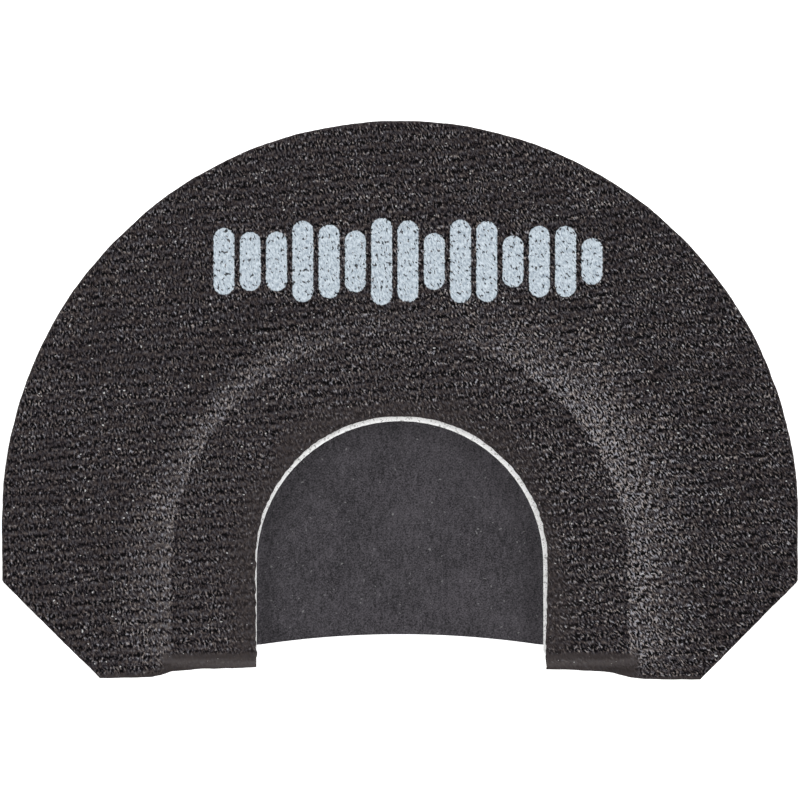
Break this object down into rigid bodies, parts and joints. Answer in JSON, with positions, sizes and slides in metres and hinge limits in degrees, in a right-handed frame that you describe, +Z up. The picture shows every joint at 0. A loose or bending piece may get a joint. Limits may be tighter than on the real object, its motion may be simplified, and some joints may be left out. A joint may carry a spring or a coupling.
{
  "type": "diaphragm mouth call",
  "caption": "Flat diaphragm mouth call: stretched latex reeds clamped in a folded horseshoe frame, sealed in a half-round skirt of ribbed cloth tape with cut front corners.",
  "frame": {"origin": "under the middle of the skirt's box, level with the lowest face of the lower tape", "axes": "+X across the mouth, +Y towards the rounded back of the skirt, +Z up out of the printed face"},
  "size_m": [0.05, 0.035, 0.0022],
  "materials": {
    "tape": "matte ribbed cloth",
    "aluminium": "bright sheared edge, satin faces",
    "latex": "dull sheet with faint mottling",
    "spacer": "matte film"
  },
  "bodies": {
    "call_body": {"frame": "aluminium", "lower_reed_border": "latex", "reed_spacer": "spacer", "upper_reed_border": "latex", "tape_bottom": "tape", "tape_top": "tape"},
    "upper_reed": {"upper_reed": "latex"},
    "lower_reed": {"lower_reed": "latex"}
  },
  "joints": [
    {"name": "upper_reed_flex", "type": "hinge", "parent": "call_body", "child": "upper_reed", "pos_m": [0, -0.00147, 0.00133], "axis": [-1, 0, 0], "range_deg": [-0.5, 4], "stiffness_Nm_per_rad": 0.005},
    {"name": "lower_reed_flex", "type": "hinge", "parent": "call_body", "child": "lower_reed", "pos_m": [0, -0.00147, 0.00089], "axis": [-1, 0, 0], "range_deg": [-4, 0.5], "stiffness_Nm_per_rad": 0.005}
  ]
}
